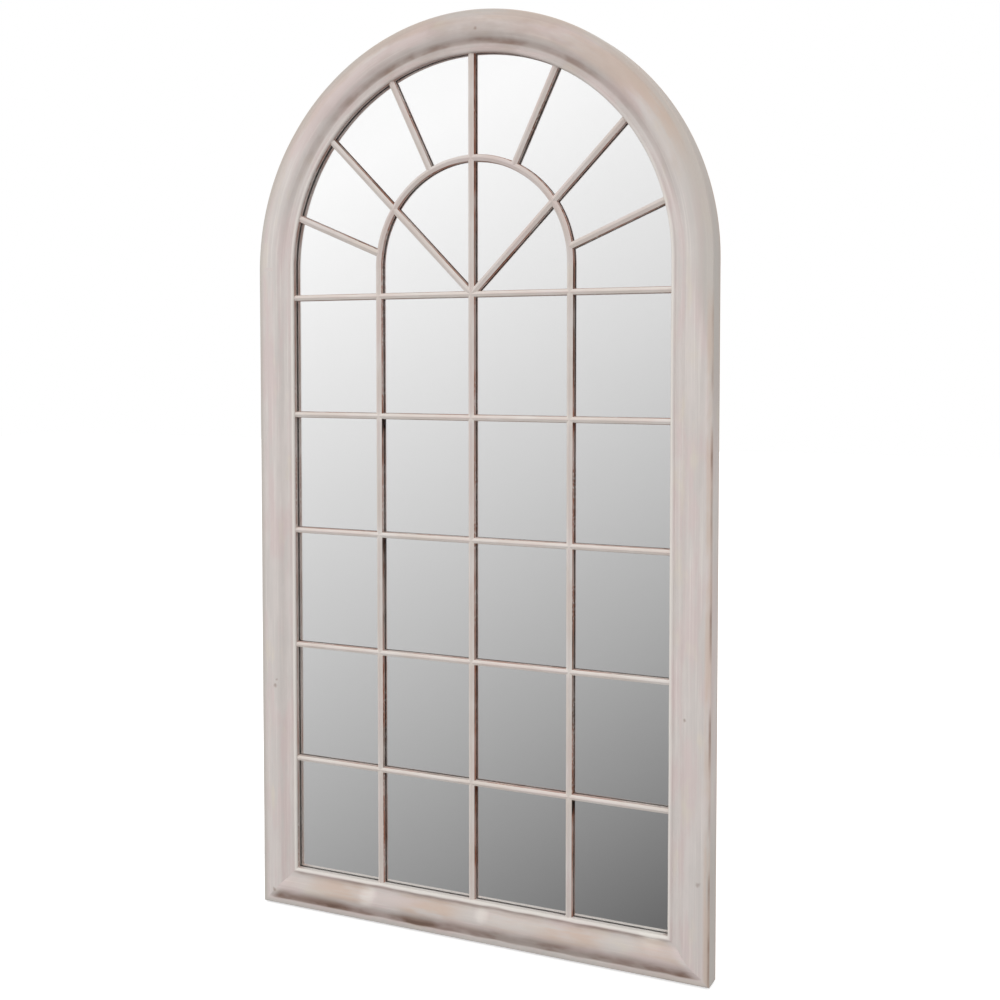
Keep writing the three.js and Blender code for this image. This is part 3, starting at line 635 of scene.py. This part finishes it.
def with_pale_spots(finish_and_light, co, spots):
    """Brightens a finish round some places (x, z), each with its radius."""
    for x, z, radius in spots:
        gap = Vector((co.x - x, co.z - z)).length
        finish_and_light.z += 0.7 * (1 - rise_between(gap, 0.3 * radius, radius))
        finish_and_light.x *= rise_between(gap, 0, radius)
    return finish_and_light


# Pale blotches on the rail, and a distance that is far from any mitre.
RAIL_SPOTS = ((-0.1435, UNDERSIDE + 0.033, 0.017), (0.016, UNDERSIDE + 0.035, 0.012),
              (0.232, UNDERSIDE + 0.045, 0.020))
NO_MITRE = 1.0
outline = moulding_outline()

bm = bmesh.new()
ring = outline_ring(bm, outline, lambda inset, depth: (-RADIUS, BACK - depth, UNDERSIDE + inset))
width = Vector((2 * RADIUS, 0, 0))
last_ring = run_on(bm, ring, round(width.length / STEP_ALONG), width)
stretch_mitres(bm, 0, -RADIUS, RADIUS, 1, 1, lambda co: co.z - UNDERSIDE + JOINT)
sand(bm, rail_grain)
close_ends(bm, ring, last_ring)
timber_piece("bottom_rail", bm, rail_grain, lambda co, grain: with_pale_spots(moulding_finish_and_light(
    grain, -1, RADIUS - abs(co.x) - grain.x, 0.35 * rise_between(co.x, 0.1, RADIUS)),
    co, RAIL_SPOTS))

for name, side, jamb_grain, worn_side in (("left_jamb", -1, left_jamb_grain, 0.1),
                                          ("right_jamb", 1, right_jamb_grain, 1.0)):
    bm = bmesh.new()
    top = SPRING - JOINT
    height = Vector((0, 0, top - UNDERSIDE))
    ring = outline_ring(bm, outline,
                        lambda inset, depth: (side * (RADIUS - inset), BACK - depth, UNDERSIDE))
    last_ring = run_on(bm, ring, round(height.z / STEP_ALONG), height)
    stretch_mitres(bm, 2, UNDERSIDE, top, 1, 0, lambda co: RADIUS - abs(co.x) + JOINT)
    sand(bm, jamb_grain)
    close_ends(bm, ring, last_ring)
    timber_piece(name, bm, jamb_grain, lambda co, grain: moulding_finish_and_light(
        grain, 0, NO_MITRE, worn_side))

for name, side in (("arch_left", -1), ("arch_right", 1)):
    bm = bmesh.new()
    ring = outline_ring(bm, outline,
                        lambda inset, depth: (side * (RADIUS - inset), BACK - depth, SPRING))
    last_ring = bend_on(bm, ring, ARCH_STEPS, (0, 0, SPRING), -90 * side)
    sand(bm, arch_grain)
    close_ends(bm, ring, last_ring)
    timber_piece(name, bm, arch_grain, lambda co, grain: moulding_finish_and_light(
        grain, (co.z - SPRING) / Vector((co.x, co.z - SPRING)).length, NO_MITRE,
        0.1 + 0.9 * rise_between(co.x, -0.05, RADIUS)))


# ---- Glazing bars -----------------------------------------------------------------
# Small ridged bars planted in front of the one pane, to look like leaded lights: three
# mullions, five transoms, an inner arch on the outer mullions, and six rays. They are
# halved and scribed over each other, glued, and finished with the frame.
BAR_HALF = 4.5 * MM
SHOULDER_HALF = 3.8 * MM
TRANSOM_HALF = 3.2 * MM
SHOULDER = 3.5 * MM
BAR_CROWN = 5.7 * MM
BAR_SOFTNESS = 0.28 * MM
BAR_RIPPLE = 0.12 * MM
TAIL = 1.2 * MM
INNER_RADIUS = (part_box("right_mullion")[0].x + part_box("right_mullion")[1].x) / 2
transom_levels = []
for number in range(1, 6):
    low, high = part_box(f"transom_{number}")
    transom_levels.append((low.z + high.z) / 2)


def bar_outline(half):
    """Points (across, height above the seat): sloping sides, and two faces up to a ridge."""
    foot = half + BAR_HALF - SHOULDER_HALF
    return [(foot, 0), (half, SHOULDER), (0, BAR_CROWN), (-half, SHOULDER), (-foot, 0)]


def soften_bar(bm):
    """Rounds the two shoulders and the ridge, and leaves the bar slightly uneven."""
    def height(v):
        return BACK - SEAT - v.co.y

    bmesh.ops.recalc_face_normals(bm, faces=bm.faces)
    long_edges = [e for e in bm.edges
                  if min(map(height, e.verts)) > SHOULDER - 0.1 * MM
                  and abs(height(e.verts[0]) - height(e.verts[1])) < 0.01 * MM]
    bmesh.ops.bevel(bm, geom=long_edges, offset=BAR_SOFTNESS, offset_type="OFFSET",
                    affect="EDGES", segments=3, profile=0.5, material=-1)
    bm.normal_update()
    for v in bm.verts:
        if height(v) > MM:
            v.co -= v.normal * BAR_RIPPLE * (0.5 + 0.5 * noise.noise(v.co * 60))


def bar_finish_and_light(sides, face_light, levels=()):
    """Reddish brown stain on a bar's sides, with a painted shadow just under a crossing bar;
    painted highlights on the shoulders, painted light at the foot of the sides, and painted light
    over the face, given per bar, that dulls it below 0. levels are the heights of the bars that
    cross it, where its face is brighter."""
    def finish_and_light(co, grain):
        height = BACK - SEAT - co.y
        low = 1 - rise_between(height, SHOULDER - 0.35 * MM, SHOULDER + 0.1 * MM)
        foot = 1 - rise_between(height, 0, SHOULDER - 0.3 * MM)
        shadow = max([0] + [1 - rise_between(level - co.z, 3 * MM, 30 * MM)
                            for level in levels if level > co.z - 2 * MM])
        spot = max([0] + [1 - rise_between(abs(level - co.z), 2 * MM, 7 * MM)
                          for level in levels])
        shoulder_highlight = rise_between(abs(grain.x), 0.8 * MM, 3 * MM) * (1 - low)
        # Painted shadow on the sides just under a crossing bar, over the reddish brown stain.
        stain_and_painted_shade = low * min(1, sides * (1 - 0.4 * foot) + 0.3 * shadow)
        # Painted highlights at the shoulders, painted light over the face as given per bar, and
        # painted light at the foot of the sides.
        painted_light = (face_light + 0.6 * shoulder_highlight + 0.4 * spot) * (1 - low) + 0.9 * low * foot
        return Vector((stain_and_painted_shade, 0.3 - 1.3 * low, min(1, painted_light)))
    return finish_and_light


def straight_bar(name, start, end, finish_and_light_of, grain_of=None, shift=(0, 0, 0),
                 half=SHOULDER_HALF):
    """A bar between two points (x, z) of its middle line."""
    start, end = Vector((start[0], 0, start[1])), Vector((end[0], 0, end[1]))
    run = (end - start).normalized()
    across = Vector((run.z, 0, -run.x))
    bm = bmesh.new()
    ring = outline_ring(bm, bar_outline(half), lambda u, h: start + across * u
                        + Vector((0, BACK - SEAT - h, 0)))
    steps = max(2, round((end - start).length / STEP_ALONG))
    close_ends(bm, ring, run_on(bm, ring, steps, end - start))
    soften_bar(bm)

    def own_grain(co):
        off = co - start
        return Vector((off.dot(across), BACK - co.y, off.dot(run))) + Vector(shift)
    timber_piece(name, bm, grain_of or own_grain, finish_and_light_of)


# The outer mullions and the inner arch have one line of grain, as the jambs and arch have.
# It starts well away from theirs, in metres, so that the marks are other ones.
BAR_GRAIN = 3


def right_mullion_grain(co):
    return Vector((co.x - INNER_RADIUS, BACK - co.y, BAR_GRAIN + co.z - UNDERSIDE))


def left_mullion_grain(co):
    return Vector((-co.x - INNER_RADIUS, BACK - co.y,
                   BAR_GRAIN + JAMB_RUN + math.pi * INNER_RADIUS + SPRING - co.z))


def inner_arch_grain(co):
    from_centre = Vector((co.x, 0, co.z - SPRING))
    angle = math.atan2(from_centre.z, from_centre.x)
    return Vector((from_centre.length - INNER_RADIUS, BACK - co.y,
                   BAR_GRAIN + JAMB_RUN + INNER_RADIUS * angle))


# Mullions and transoms end just inside the sight wall, where the bead hides their ends.
SIGHT = RADIUS - FACE
sill = UNDERSIDE + FACE - TAIL
crown_of_sight = SPRING + SIGHT + TAIL
mullion_finish_and_light = bar_finish_and_light(sides=0.85, face_light=-0.1, levels=transom_levels)
straight_bar("left_mullion", (-INNER_RADIUS, sill), (-INNER_RADIUS, SPRING), mullion_finish_and_light,
             left_mullion_grain)
straight_bar("right_mullion", (INNER_RADIUS, sill), (INNER_RADIUS, SPRING), mullion_finish_and_light,
             right_mullion_grain)
straight_bar("centre_mullion", (0, sill), (0, crown_of_sight),
             bar_finish_and_light(sides=0.85, face_light=-0.1, levels=transom_levels + [crown_of_sight]),
             shift=(0, 0, 6))
for number, level in enumerate(transom_levels, 1):
    straight_bar(f"transom_{number}", (-SIGHT - TAIL, level), (SIGHT + TAIL, level),
                 bar_finish_and_light(sides=0.55, face_light=0.2), shift=(0, 0, 6 + 2 * number),
                 half=TRANSOM_HALF)

bm = bmesh.new()
ring = outline_ring(bm, bar_outline(SHOULDER_HALF),
                    lambda u, h: (INNER_RADIUS + u, BACK - SEAT - h, SPRING))
close_ends(bm, ring, bend_on(bm, ring, ARCH_STEPS, (0, 0, SPRING), -180))
soften_bar(bm)
timber_piece("inner_arch", bm, inner_arch_grain, bar_finish_and_light(sides=0.85, face_light=-0.25))

# The rays: two long ones from the crossing of the middle mullion and the top transom, and
# four short ones from the inner arch, out to the frame. Each has the point that it aims
# from, its angle in degrees, and whether it is a short one.
crossing = Vector((0, transom_levels[0]))
arch_centre = Vector((0, SPRING))
RAYS = ((crossing, 22.5, True), (crossing, 45, False), (arch_centre, 64.3, True),
        (arch_centre, 115.7, True), (crossing, 135, False), (crossing, 157.5, True))


def reach(start, way, radius):
    """How far along a ray from start it meets a circle round the arch's centre."""
    off = start - arch_centre
    half = off.dot(way)
    return -half + math.sqrt(half * half - off.length_squared + radius * radius)


for number, (start, degrees, short) in enumerate(RAYS, 1):
    way = Vector((math.cos(math.radians(degrees)), math.sin(math.radians(degrees))))
    near = reach(start, way, INNER_RADIUS) if short else 0
    far = reach(start, way, SIGHT + TAIL)
    straight_bar(f"fan_bar_{number}", start + way * near, start + way * far,
                 bar_finish_and_light(sides=0.80, face_light=-0.2), shift=(0, 0, 18 + 2 * number))


# ---- Mirror pane ----------------------------------------------------------------------
# One sheet of 3 mm float glass cut to the arched outline, silvered on its back, so that
# the picture in it lies behind the front surface.
SILVER_GAP = 0.02 * MM
SILVER_FILM = 0.3 * MM
pane_low, pane_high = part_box("mirror_glass")


def arched_plate(name, low, high, front, back):
    """A flat plate with the mirror's outline between two planes."""
    half = (high.x - low.x) / 2
    bm = bmesh.new()
    corner = bm.verts.new((half, front, low.z))
    foot = bm.verts.new((half, front, SPRING))
    bm.edges.new((corner, foot))
    spun = bmesh.ops.spin(bm, geom=[foot], cent=(0, front, SPRING), axis=(0, 1, 0),
                          angle=-math.pi, steps=ARCH_STEPS)["geom_last"]
    last = [v for v in spun if isinstance(v, bmesh.types.BMVert)][0]
    other = bm.verts.new((-half, front, low.z))
    bm.edges.new((last, other))
    bm.edges.new((other, corner))
    bmesh.ops.remove_doubles(bm, verts=bm.verts, dist=1e-6)
    bmesh.ops.contextual_create(bm, geom=bm.edges[:])
    made = bmesh.ops.extrude_face_region(bm, geom=bm.faces[:])["geom"]
    bmesh.ops.translate(bm, vec=(0, back - front, 0),
                        verts=[v for v in made if isinstance(v, bmesh.types.BMVert)])
    bmesh.ops.recalc_face_normals(bm, faces=bm.faces)
    plate = new_piece(name, bm)
    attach(plate, "frame")
    return plate


silver_front = pane_high.y - SILVER_FILM
glass = arched_plate("float_glass", pane_low, pane_high, pane_low.y, silver_front - SILVER_GAP)
silver = arched_plate("silvering", pane_low, pane_high, silver_front, pane_high.y)
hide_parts("mirror_glass")

clear, tree = new_material("float_glass")
sheet = add_node(tree, "BsdfPrincipled", {
    "Base Color": (1, 1, 1, 1), "Roughness": 0.0, "IOR": 1.5, "Transmission Weight": 1.0})
add_node(tree, "OutputMaterial", {"Surface": sheet.outputs[0]})
glass.data.materials.append(clear)

silvered, tree = new_material("silvering")
where = add_node(tree, "TexCoord").outputs["Object"]
haze = add_node(tree, "TexNoise", {"Vector": where, "Scale": 6.0, "Detail": 2.0})
film = add_node(tree, "BsdfPrincipled", {
    "Base Color": blend(tree, haze.outputs["Fac"], tint(250, 250, 250), tint(252, 252, 252)),
    "Roughness": 0.012, "Metallic": 1.0})
add_node(tree, "OutputMaterial", {"Surface": film.outputs[0]})
silver.data.materials.append(silvered)


# ---- Backing board ----------------------------------------------------------------------
# A sheet of 3 mm hardboard behind the pane, smooth and brown, with its sawn edge just
# broken. It lies in the rebate and keeps the silvering from being scratched.
BOARD_ARRIS = 0.3 * MM
HARDBOARD = tint(112, 84, 60)
HARDBOARD_DARK = tint(88, 63, 44)
HARDBOARD_FIBRE = tint(136, 106, 78)
board_low, board_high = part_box("backing_board")
board = arched_plate("hardboard_back", board_low, board_high, board_low.y, board_high.y)
bm = bmesh.new()
bm.from_mesh(board.data)
bmesh.ops.bevel(bm, geom=[e for e in bm.edges if e.calc_face_angle(0) > 1], affect="EDGES",
                offset=BOARD_ARRIS, offset_type="OFFSET", segments=2, profile=0.5, material=-1)
bm.to_mesh(board.data)
bm.free()
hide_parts("backing_board")

pressed, tree = new_material("pressed_hardboard")
where = add_node(tree, "TexCoord").outputs["Object"]
cloudy = add_node(tree, "TexNoise", {"Vector": where, "Scale": 22.0, "Detail": 4.0})
fibre = add_node(tree, "TexNoise", {"Vector": where, "Scale": 900.0, "Detail": 3.0})
specks = add_node(tree, "TexVoronoi", {"Vector": where, "Scale": 420.0})
colour = blend(tree, cloudy.outputs["Fac"], HARDBOARD_DARK, HARDBOARD)
colour = blend(tree, between(tree, fibre.outputs["Fac"], 0.52, 0.72), colour, HARDBOARD_FIBRE)
colour = blend(tree, maths(tree, "SUBTRACT", 1.0, between(tree, specks.outputs[0], 0.05, 0.16)),
               colour, HARDBOARD_DARK)
relief = add_node(tree, "Bump", {"Height": fibre.outputs["Fac"], "Strength": 0.3,
                                 "Distance": 0.0003})
face = add_node(tree, "BsdfPrincipled", {
    "Base Color": colour, "Normal": relief.outputs[0], "Specular IOR Level": 0.35,
    "Roughness": maths(tree, "ADD", 0.45, maths(tree, "MULTIPLY", cloudy.outputs["Fac"], 0.25))})
add_node(tree, "OutputMaterial", {"Surface": face.outputs[0]})
board.data.materials.append(pressed)


# ---- Board clips, hanger straps and screws -------------------------------------------------
# Bent zinc-plated clips hold the board and pane in the rebate, and a strap with a rolled
# eye on each jamb carries a ring. Pan-head screws with a cross recess hold them all.
ZINC = tint(186, 187, 186)
ZINC_BLUE = tint(168, 174, 180)
ZINC_YELLOW = tint(190, 185, 170)
METAL_SHARP = 35

plating, given, result = group_with(
    "zinc_plate", [("Place", "Vector")],
    [("Color", "Color"), ("Roughness", "Float"), ("Height", "Float")])
bath = add_node(plating, "TexNoise", {"Vector": given["Place"], "Scale": 90.0, "Detail": 3.0})
tarnish = add_node(plating, "TexNoise", {"Vector": given["Place"], "Scale": 35.0, "Detail": 2.0})
rolled = add_node(plating, "TexNoise", {
    "Vector": add_node(plating, "Mapping", {"Vector": given["Place"],
                                            "Scale": (3000, 900, 120)}).outputs[0],
    "Scale": 1.0, "Detail": 2.0})
colour = blend(plating, bath.outputs["Fac"], ZINC_BLUE, ZINC)
colour = blend(plating, between(plating, tarnish.outputs["Fac"], 0.5, 0.75), colour, ZINC_YELLOW)
plating.links.new(colour, result["Color"])
plating.links.new(maths(plating, "ADD", 0.24, maths(plating, "MULTIPLY",
                                                    bath.outputs["Fac"], 0.26)),
                  result["Roughness"])
plating.links.new(rolled.outputs["Fac"], result["Height"])

zinc, tree = new_material("zinc_plated_steel")
zinc_look = add_node(tree, "Group", {"Place": add_node(tree, "TexCoord").outputs["Object"]},
                     node_tree=plating)
relief = add_node(tree, "Bump", {"Height": zinc_look.outputs["Height"], "Strength": 0.12,
                                 "Distance": 0.0001})
metal = add_node(tree, "BsdfPrincipled", {
    "Base Color": zinc_look.outputs["Color"], "Roughness": zinc_look.outputs["Roughness"],
    "Metallic": 1.0, "Normal": relief.outputs[0]})
add_node(tree, "OutputMaterial", {"Surface": metal.outputs[0]})


def small_part(name, bm, node, body, material):
    """Links a finished fitting, smooth between its arrises, in the place of a node."""
    piece = new_piece(name, bm)
    shade_softly(piece, METAL_SHARP)
    piece.data.materials.append(material)
    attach(piece, body)
    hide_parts(node)


def pressed_fitting(node, arris):
    """A node's own shape with its arrises broken, as tumbling and plating leave them."""
    bm = bmesh.new()
    bm.from_mesh(frame["nodes"][node].data)
    bmesh.ops.remove_doubles(bm, verts=bm.verts, dist=1e-6)
    bmesh.ops.dissolve_limit(bm, angle_limit=math.radians(0.5), verts=bm.verts, edges=bm.edges)
    arrises = [e for e in bm.edges if len(e.link_faces) == 2
               and e.calc_face_angle(0) > math.radians(METAL_SHARP)]
    bmesh.ops.bevel(bm, geom=arrises, affect="EDGES", offset=arris, offset_type="OFFSET",
                    segments=2, profile=0.5, material=-1, clamp_overlap=True)
    bmesh.ops.triangulate(bm, faces=bm.faces)
    small_part("plated_" + node, bm, node, "frame", zinc)


PLATE_ARRIS = 0.18 * MM
SCREW_ARRIS = 0.07 * MM
CLIPS = ("left_1", "right_1", "left_2", "right_2", "bottom_1", "bottom_2", "arch_1", "arch_2")
for clip in CLIPS:
    pressed_fitting("board_clip_" + clip, PLATE_ARRIS)
    pressed_fitting("clip_screw_" + clip, SCREW_ARRIS)
for side in ("left", "right"):
    pressed_fitting(side + "_hanger_strap", PLATE_ARRIS)
    for number in (1, 2):
        pressed_fitting(f"hanger_screw_{side}_{number}", SCREW_ARRIS)


# ---- Hanging rings ------------------------------------------------------------------------
# Each ring is one length of plated wire, bent to a D: straight through the strap's rolled
# eye, square at the corners, and round where the hook goes. Its butt is inside the eye.
WIRE = 1.3 * MM
RING_HALF = 10 * MM
RING_DROP = 6 * MM
RING_CORNER = 2.86 * MM
RING_BUTT = 0.4 * MM
WIRE_SIDES = 20
CORNER_STEPS = 8
BOW_STEPS = 40
pivots = {joint["child"]: joint["pos_m"] for joint in frame["joints"]}

for side in ("left", "right"):
    x, y, z = pivots[side + "_ring"]
    bm = bmesh.new()
    made = bmesh.ops.create_circle(bm, segments=WIRE_SIDES, radius=WIRE,
                                   matrix=Matrix.Translation((x + RING_BUTT, y, z))
                                   @ Matrix.Rotation(math.radians(90), 4, "Y"))
    start = list(bm.edges)
    wire = run_on(bm, start, 3, Vector((RING_HALF - RING_CORNER - RING_BUTT, 0, 0)))
    wire = bend_on(bm, wire, CORNER_STEPS, (x + RING_HALF - RING_CORNER, y, z - RING_CORNER), 90)
    wire = run_on(bm, wire, 2, Vector((0, 0, RING_CORNER - RING_DROP)))
    wire = bend_on(bm, wire, BOW_STEPS, (x, y, z - RING_DROP), 180)
    wire = run_on(bm, wire, 2, Vector((0, 0, RING_DROP - RING_CORNER)))
    wire = bend_on(bm, wire, CORNER_STEPS, (x - RING_HALF + RING_CORNER, y, z - RING_CORNER), 90)
    wire = run_on(bm, wire, 3, Vector((RING_HALF - RING_CORNER - RING_BUTT, 0, 0)))
    close_ends(bm, start, wire)
    bmesh.ops.remove_doubles(bm, verts=bm.verts, dist=1e-6)
    bmesh.ops.recalc_face_normals(bm, faces=bm.faces)
    small_part(f"{side}_d_ring", bm, f"{side}_hanging_ring", f"{side}_ring",
               zinc)


# ---- Wall bumpers -------------------------------------------------------------------------
# Four round rubber pads stuck on the frame's back, with the rim rounded where they meet
# the wall. They keep the straps and rings clear of it.
PAD_EDGE = 0.8 * MM
PAD_SIDES = 48
RUBBER = tint(44, 43, 42)
RUBBER_DUSTY = tint(66, 64, 61)

moulded, tree = new_material("black_rubber")
where = add_node(tree, "TexCoord").outputs["Object"]
pores = add_node(tree, "TexNoise", {"Vector": where, "Scale": 1400.0, "Detail": 2.0})
dust = add_node(tree, "TexNoise", {"Vector": where, "Scale": 160.0, "Detail": 3.0})
relief = add_node(tree, "Bump", {"Height": pores.outputs["Fac"], "Strength": 0.35,
                                 "Distance": 0.0002})
skin = add_node(tree, "BsdfPrincipled", {
    "Base Color": blend(tree, between(tree, dust.outputs["Fac"], 0.45, 0.75),
                        RUBBER, RUBBER_DUSTY),
    "Roughness": maths(tree, "ADD", 0.62, maths(tree, "MULTIPLY", dust.outputs["Fac"], 0.25)),
    "Normal": relief.outputs[0]})
add_node(tree, "OutputMaterial", {"Surface": skin.outputs[0]})

for level in ("lower", "upper"):
    for side in ("left", "right"):
        low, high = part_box(f"{level}_{side}_pad")
        centre = (low + high) / 2
        bm = bmesh.new()
        bmesh.ops.create_cone(bm, cap_ends=True, segments=PAD_SIDES, depth=high.y - low.y,
                              radius1=(high.x - low.x) / 2, radius2=(high.x - low.x) / 2,
                              matrix=Matrix.Translation(centre)
                              @ Matrix.Rotation(math.radians(90), 4, "X"))
        rim = [e for e in bm.edges if all(v.co.y > centre.y for v in e.verts)
               and e.calc_face_angle(0) > 1]
        bmesh.ops.bevel(bm, geom=rim, affect="EDGES", offset=PAD_EDGE, offset_type="OFFSET",
                        segments=4, profile=0.5, material=-1)
        bmesh.ops.recalc_face_normals(bm, faces=bm.faces)
        small_part(f"{level}_{side}_bumper", bm, f"{level}_{side}_pad", "frame",
                   moulded)
